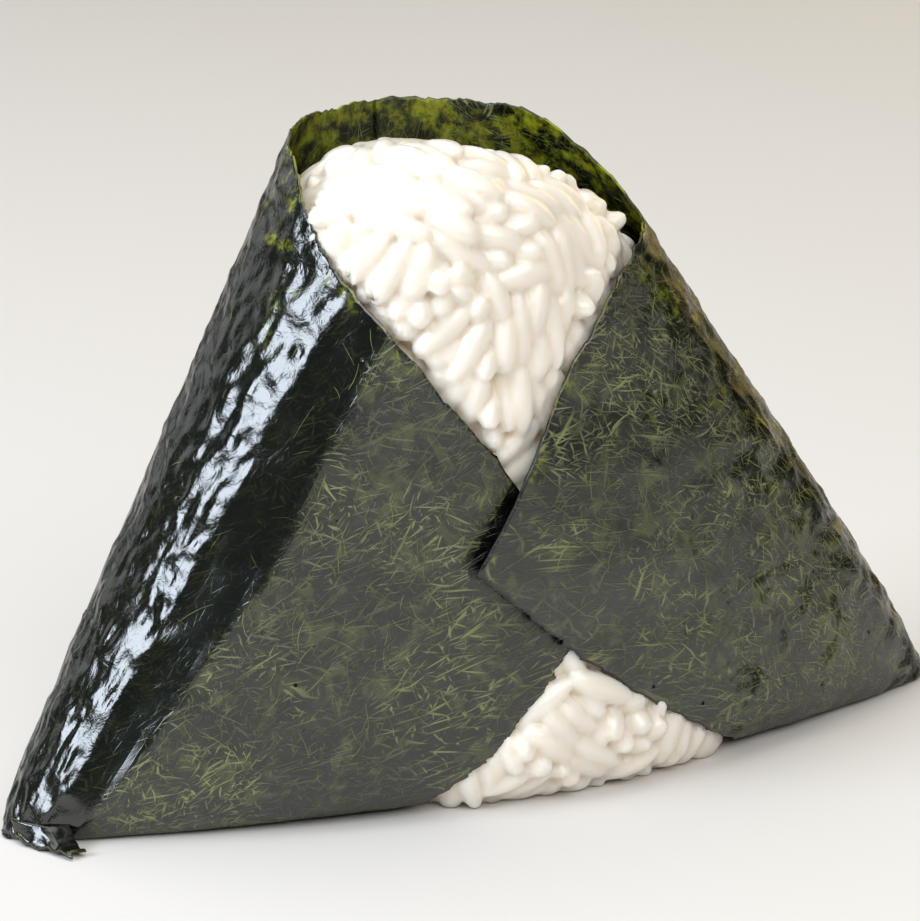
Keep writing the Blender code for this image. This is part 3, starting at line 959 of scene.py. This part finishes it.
def slit_shade_depth(x, height):
    """How far places of the left flap lie inside the slit under the right flap's lifted edge, which is
    painted black as shade.
    """
    edge_x, edge_height = right_flap_edge(np.linspace(1, 0, 25))
    beyond = x - np.interp(height, edge_height, edge_x)
    width = np.interp(height, (27 * MM, 38 * MM), (0.55 * MM, 0.1 * MM))
    ends = np.minimum(height - 26.5 * MM, 45 * MM - height)
    return np.clip(np.minimum(np.minimum(beyond + width, ends), 6 * MM - beyond), -2 * MM, 2 * MM)


def finish_sheet(mesh, laid, marks, finishes, settings):
    """Gives a sheet its flat layout, its marks and its thickness, and joins it to the wrap."""
    corner = np.empty(len(mesh.loops), dtype=np.int32)
    mesh.loops.foreach_get("vertex_index", corner)
    laid = (laid[corner] * 10).astype(np.float32)
    mesh.uv_layers.new(name="sheet").uv.foreach_set("vector", laid.ravel())
    for name, values in marks.items():
        store(mesh, name, values)
    piece = add_object(mesh.name, mesh, *finishes)
    shell = piece.modifiers.new("thickness", 'SOLIDIFY')
    shell.thickness = settings.thickness
    shell.offset = -1.0
    shell.material_offset = 1
    shell.material_offset_rim = 2
    join_piece(piece, "nori_wrap")
    return piece


def make_nori_sheet(settings):
    """The sheet from its hem under the base to its ragged cut edge, with crinkled ends."""
    flap, end, back, rows = 62, 50, 64, 150
    foot_angle, top_angle, top_height = sheet_columns(flap, end, back)
    last = len(foot_angle) - 1
    sheet = bmesh.new()
    bmesh.ops.create_grid(sheet, x_segments=last, y_segments=rows, size=1.0)
    start = np.array([v.co[:] for v in sheet.verts])
    column = np.rint((start[:, 0] + 1) / 2 * last).astype(int)
    row = (start[:, 1] + 1) / 2
    nick = edge_nicks(last + 1, settings.ragged, 2.0)
    top_climb = climb_to(top_height)[column]
    climb = mix(-TUCK, top_climb, row)
    height = height_at(climb)
    angle = mix(foot_angle[column], top_angle[column], height / top_height[column])
    climb = climb + nick[column] * ease(0.9, 1.0, row)
    side_nick = edge_nicks(rows + 1, settings.ragged, 11.0)[np.rint(row * rows).astype(int)]
    at_side = ease(4, 0, column) - ease(last - 4, last, column)
    angle = angle + 0.5 * at_side * side_nick / (45 * MM)
    ring = wrap_points(mix(foot_angle, top_angle, 0.5), climb_to(np.full(last + 1, COLLAR_HEIGHT / 2)))
    steps = np.linalg.norm(np.diff(ring, axis=0), axis=1)
    length = np.concatenate([[0.0], np.cumsum(steps)])[column]
    offset = flap_offset(column, last, flap, height)
    smooth_place = wrap_points(angle, climb, offset)
    normals = wrap_normals(angle, climb)
    relief = crinkles(smooth_place, angle, climb, length, settings) * ease(-1 * MM, 5 * MM, climb)
    fold = fold_height(smooth_place, angle, climb)
    behind = ease(math.radians(130), math.radians(170), angle)
    places = smooth_place + normals * (relief + 0.2 * fold * behind)[:, None]
    places[:, 2] = np.maximum(places[:, 2], 0.0)
    move_vertices(sheet, places)
    outward = sum(f.normal.dot(f.calc_center_median() - Vector((0, MIDPLANE, 0.03))) for f in sheet.faces)
    if outward < 0:
        bmesh.ops.reverse_faces(sheet, faces=sheet.faces)
    # The thin mark paints light coming through the sheet near its cut edge and round the collar. At the
    # right end it also paints a warm reflection.
    to_edge = (1 - row) * top_climb
    collar = band_share(angle, math.radians(-40), math.radians(225), math.radians(12))
    thin = np.maximum(ease(1.6 * MM, 0.0, to_edge), collar * ease(14 * MM, 2 * MM, to_edge))
    left_end = past_fold(smooth_place) * ease(math.radians(134), math.radians(140), angle)
    crumpled = band_share(angle, math.radians(140), math.radians(241), math.radians(3))
    right_end = band_share(angle, math.radians(-60), math.radians(40), math.radians(8))
    dull = ease(4 * MM, 26 * MM, smooth_place[:, 0] + 0.25 * smooth_place[:, 2]) * (angle < 0.5 * math.pi)
    # The slit under the lifted flap, and a thin line along the flap's side edge near its corner, are painted
    # black: painted shade.
    left_flap = (column < 1.2 * flap) & (normals[:, 1] < -0.5)
    slit = np.where(left_flap, slit_shade_depth(smooth_place[:, 0], smooth_place[:, 2]), -2 * MM)
    rim = 0.3 * MM - np.minimum(to_edge, (last - column) * 0.6 * MM)
    near_corner = (column > last - 0.3 * flap) & (row > 0.3)
    slit = np.maximum(slit, np.where(near_corner, rim, -2 * MM))
    marks = {
        "thin": np.maximum(thin, 0.8 * right_end) * (slit < 0),
        "slit": slit,
        "fold": fold,
        "glaze": np.maximum(left_end, 0.6 * right_end),
        "crumple": np.maximum(crumpled, 0.6 * right_end),
        "dull": 0.6 * dull + 0.4 * right_end,
    }
    finishes = (nori_material("nori outside", settings, (0.54, 0.72), 1.74),
                nori_material("nori inside", settings, (0.42, 0.66), 1.4), edge_material(settings))
    laid = np.stack([length, climb], axis=1)
    return finish_sheet(mesh_from(sheet, "nori_sheet"), laid, marks, finishes, settings)


def make_nori_tab(settings, sheet):
    """The crumpled end of the hem that sticks out under the left tip."""
    tab = bmesh.new()
    bmesh.ops.create_grid(tab, x_segments=28, y_segments=14, size=1.0)
    start = np.array([v.co[:] for v in tab.verts])
    along, out = (start[:, 0] + 1) / 2, (start[:, 1] + 1) / 2
    angle = np.radians(np.interp(along, (0, 0.4, 1), (190, 228, 243.4)))
    root = wrap_points(angle, np.full_like(angle, 6.5 * MM))
    reach = 3.9 * MM * ease(0.0, 0.9, along) * (1 - 0.35 * ease(0.9, 1.0, along)) + 0.5 * MM
    fall = np.sin(np.minimum(out * 1.25, 1.0) * math.pi / 2)
    x = root[:, 0] + 0.15 * reach * out
    y = root[:, 1] - reach * out - 0.8 * MM * out
    z = mix(root[:, 2] - 0.1 * MM, 0.45 * MM, fall)
    places = stack(x, y, z)
    crumple = rough(places, 1.6 * MM, 12.0) * 0.55 * MM + ridges(places / (1.5 * MM), 5.0) * 0.35 * MM
    places[:, 2] = np.maximum(places[:, 2] + crumple * ease(0.05, 0.5, out), 0.3 * MM)
    move_vertices(tab, places)
    if sum(f.normal.z for f in tab.faces) < 0:
        bmesh.ops.reverse_faces(tab, faces=tab.faces)
    edge = np.minimum(np.minimum(along, 1 - along) * 3, 1 - out)
    marks = {
        "thin": 0.3 * ease(0.22, 0.0, edge),
        "slit": -MM,
        "fold": 0.0,
        "glaze": 1.0,
        "crumple": 1.0,
        "dull": 0.0,
    }
    finish_sheet(mesh_from(tab, "nori_tab"), places[:, :2], marks, sheet.data.materials, settings)


def scatter_on_sheet(skin, count, rng):
    """Random places on the sheet's outer face and on the bare top of its inner face, with normals."""
    sizes = np.array([f.calc_area() for f in skin.faces])
    corners = np.array([[v.co[:] for v in f.verts] for f in skin.faces])
    normals = np.array([f.normal[:] for f in skin.faces])
    inside = (normals[:, :2] * (corners.mean(axis=1)[:, :2])).sum(axis=1) < 0
    low = corners[:, :, 2].mean(axis=1) < 50 * MM
    chance = np.where(inside & low, 0.0, sizes)
    chance /= chance.sum()
    picks = rng.choice(len(sizes), size=count, p=chance)
    weights = rng.dirichlet((1, 1, 1), size=len(picks))
    return (corners[picks] * weights[:, :, None]).sum(axis=1), normals[picks]


def strand_route(spot, normal, tree, sink, rng):
    """Knots of a short curved strand sunk in the sheet, cut short where it would leave the sheet."""
    way = np.cross(normal, rng.normal(0, 1, 3))
    way /= np.linalg.norm(way)
    length = min(1.4 * MM + rng.gamma(2.0, 0.95 * MM), 8 * MM)
    bend = rng.normal(0, 0.75)
    route, place = [], spot - way * length / 2
    while len(route) < STRAND_KNOTS:
        found, facing, _, _ = tree.find_nearest(place)
        if (Vector(place) - found).length > 1.5 * MM or np.dot(facing, normal) < 0.2:
            break
        route.append(np.array(found) - sink * np.array(facing))
        way = way - normal * np.dot(way, normal)
        turned = way + np.cross(normal, way) * bend * 0.5
        way = turned / np.linalg.norm(turned)
        place = np.array(found) + way * length / (STRAND_KNOTS - 1)
    return route


def make_nori_strands(settings, sheet):
    """Felted strands lying on both faces of the sheet, each a short curved thread half sunk in it."""
    rng = np.random.default_rng(31)
    ready = sheet.evaluated_get(bpy.context.evaluated_depsgraph_get())
    skin = bmesh.new()
    skin.from_mesh(ready.to_mesh())
    ready.to_mesh_clear()
    bmesh.ops.triangulate(skin, faces=skin.faces)
    tree = BVHTree.FromBMesh(skin)
    spots, normals = scatter_on_sheet(skin, settings.strand_count, rng)
    skin.free()
    threads = bpy.data.curves.new("nori strands", 'CURVE')
    threads.dimensions = '3D'
    threads.bevel_depth = 1.0
    threads.bevel_resolution = 0
    threads.use_fill_caps = True
    tones = []
    for spot, normal in zip(spots, normals):
        route = strand_route(spot, normal, tree, 0.3 * settings.strand_width, rng)
        whole = len(route) == STRAND_KNOTS
        steps = np.linalg.norm(np.diff(route, axis=0), axis=1) if whole else (0.0,)
        if min(steps) < 0.12 * MM or (spot[1] < -5 * MM and slit_shade_depth(spot[0], spot[2]) > -0.8 * MM):
            continue
        # Past the fold most strands are left out, and the rest are toned down: painted shade for the dim
        # side.
        shaded_past_fold = float(past_fold(spot[None])[0]) * (normal[1] < 0.3)
        if rng.uniform() < 0.9 * shaded_past_fold:
            continue
        spline = threads.splines.new('POLY')
        spline.points.add(STRAND_KNOTS - 1)
        width = settings.strand_width * rng.uniform(0.6, 1.35)
        for knot, (point, at) in enumerate(zip(spline.points, route)):
            point.co = (*at, 1.0)
            point.radius = width / 2 * (0.6 + 0.4 * math.sin(math.pi * (knot + 0.5) / STRAND_KNOTS))
        tones.append((0.15 + 0.85 * rng.beta(1.1, 2.2)) * (1 - 0.8 * shaded_past_fold))
    holder = bpy.data.objects.new("strand routes", threads)
    mesh = bpy.data.meshes.new_from_object(holder)
    bpy.data.objects.remove(holder)
    bpy.data.curves.remove(threads)
    mesh.name = "nori_strands"
    store(mesh, "tone", np.repeat(tones, len(mesh.vertices) // len(tones)))
    made, nodes, shader = make_material("felted strand", 0.5, 0.25)
    dim = tuple(c * 0.5 for c in settings.felt_colour)
    tone = add_colour_mix(nodes, add_attribute(nodes, "tone"), dim, settings.strand_colour)
    nodes.links.new(tone, shader.inputs["Base Color"])
    strands = add_object("nori_strands", mesh, made)
    join_piece(strands, "nori_wrap")


# ---------------------------------------------------------------- studio

def aim(thing, place, target):
    thing.location = place
    thing.rotation_euler = (Vector(target) - Vector(place)).to_track_quat('-Z', 'Y').to_euler()


def add_softbox(name, way, distance, size, strength, colour):
    """A soft light of even brightness `strength`, standing off the ball in the given direction."""
    lamp = bpy.data.lights.new(name, 'AREA')
    lamp.shape = 'RECTANGLE'
    lamp.size, lamp.size_y = size
    lamp.energy = strength * math.pi * size[0] * size[1]
    lamp.color = colour
    holder = bpy.data.objects.new(name, lamp)
    bpy.context.scene.collection.objects.link(holder)
    aim(holder, Vector(way).normalized() * distance + Vector((0, 0, 0.03)), (0, 0, 0.035))


def make_studio(settings):
    scene = bpy.context.scene
    floor = bmesh.new()
    bmesh.ops.create_grid(floor, x_segments=1, y_segments=1, size=settings.floor_size / 2)
    made, _, shader = make_material("pale floor", 0.8, 0.15)
    shader.inputs["Base Color"].default_value = (*settings.floor_colour, 1.0)
    ground = add_object("floor", mesh_from(floor, "floor"), made)

    sky = bpy.data.worlds.new("studio")
    sky.use_nodes = True
    sky.node_tree.nodes["Background"].inputs["Color"].default_value = (0.96, 0.98, 1.0, 1.0)
    sky.node_tree.nodes["Background"].inputs["Strength"].default_value = 0.08
    scene.world = sky
    add_softbox("top softbox", (-0.1, 0.15, 0.95), 0.85, (0.9, 0.9), 2.1, (1.0, 0.985, 0.96))
    add_softbox("front softbox", (-0.05, -0.72, 0.70), 0.9, (0.8, 0.6), 3.6, (1.0, 0.98, 0.95))
    add_softbox("window", (-0.90, -0.02, 0.44), 0.8, (0.42, 0.34), 12.5, (0.80, 0.89, 1.0))
    add_softbox("back card", (-0.25, 0.92, 0.32), 1.0, (0.9, 0.5), 0.7, (0.95, 0.96, 1.0))
    add_softbox("warm card", (0.86, 0.40, 0.30), 0.9, (0.5, 0.5), 1.9, (1.0, 0.76, 0.28))

    lens = bpy.data.cameras.new("camera")
    lens.sensor_width = 36.0
    picture_width = 100.5 * MM
    lens.lens = lens.sensor_width * settings.camera_distance / picture_width
    lens.clip_start = 0.01
    camera = bpy.data.objects.new("camera", lens)
    scene.collection.objects.link(camera)
    turn, rise = settings.camera_turn, settings.camera_rise
    back = Vector((-math.sin(turn) * math.cos(rise), -math.cos(turn) * math.cos(rise), math.sin(rise)))
    target = Vector((-3.3 * MM, MIDPLANE, 34.2 * MM))
    aim(camera, target + back * settings.camera_distance, target)
    scene.camera = camera
    scene.view_settings.view_transform = 'Standard'


# ---------------------------------------------------------------- operators, panel and registration

class RICEBALL_OT_core(bpy.types.Operator):
    """Build the pressed rice behind the grains"""

    bl_idname = "rice_ball.core"
    bl_label = "Pressed Rice"

    def execute(self, context):
        make_rice_core(context.scene.rice_ball_rice)
        return {'FINISHED'}


class RICEBALL_OT_grains(bpy.types.Operator):
    """Build the loose grains of the bare parts"""

    bl_idname = "rice_ball.grains"
    bl_label = "Rice Grains"

    def execute(self, context):
        make_rice_grains(context.scene.rice_ball_rice)
        return {'FINISHED'}


class RICEBALL_OT_nori(bpy.types.Operator):
    """Build the nori sheet with its felted strands"""

    bl_idname = "rice_ball.nori"
    bl_label = "Nori Sheet"

    def execute(self, context):
        settings = context.scene.rice_ball_nori
        sheet = make_nori_sheet(settings)
        make_nori_tab(settings, sheet)
        make_nori_strands(settings, sheet)
        return {'FINISHED'}


class RICEBALL_OT_studio(bpy.types.Operator):
    """Build the floor, the lights and the camera"""

    bl_idname = "rice_ball.studio"
    bl_label = "Studio"

    def execute(self, context):
        make_studio(context.scene.rice_ball_studio)
        return {'FINISHED'}


class RICEBALL_PT_panel(bpy.types.Panel):
    """Lists the rice ball's pieces"""

    bl_label = "Rice Ball"
    bl_idname = "RICEBALL_PT_panel"
    bl_space_type = 'VIEW_3D'
    bl_region_type = 'UI'
    bl_category = "Rice Ball"

    def draw(self, context):
        for operator, group in PIECES:
            settings = getattr(context.scene, group)
            column = self.layout.column()
            column.operator(operator)
            for name in settings.__annotations__:
                column.prop(settings, name)


PIECES = (
    ("rice_ball.core", "rice_ball_rice"),
    ("rice_ball.grains", "rice_ball_rice"),
    ("rice_ball.nori", "rice_ball_nori"),
    ("rice_ball.studio", "rice_ball_studio"),
)
GROUPS = {"rice_ball_rice": RiceSettings, "rice_ball_nori": NoriSettings, "rice_ball_studio": StudioSettings}
CLASSES = (*GROUPS.values(), RICEBALL_OT_core, RICEBALL_OT_grains, RICEBALL_OT_nori, RICEBALL_OT_studio,
           RICEBALL_PT_panel)


def register():
    for kind in CLASSES:
        bpy.utils.register_class(kind)
    for name, group in GROUPS.items():
        setattr(bpy.types.Scene, name, PointerProperty(type=group))


def unregister():
    for name in GROUPS:
        delattr(bpy.types.Scene, name)
    for kind in reversed(CLASSES):
        bpy.utils.unregister_class(kind)


def main():
    register()
    bpy.ops.rice_ball.core()
    bpy.ops.rice_ball.grains()
    bpy.ops.rice_ball.nori()
    bpy.ops.rice_ball.studio()


if __name__ == "__main__":
    main()
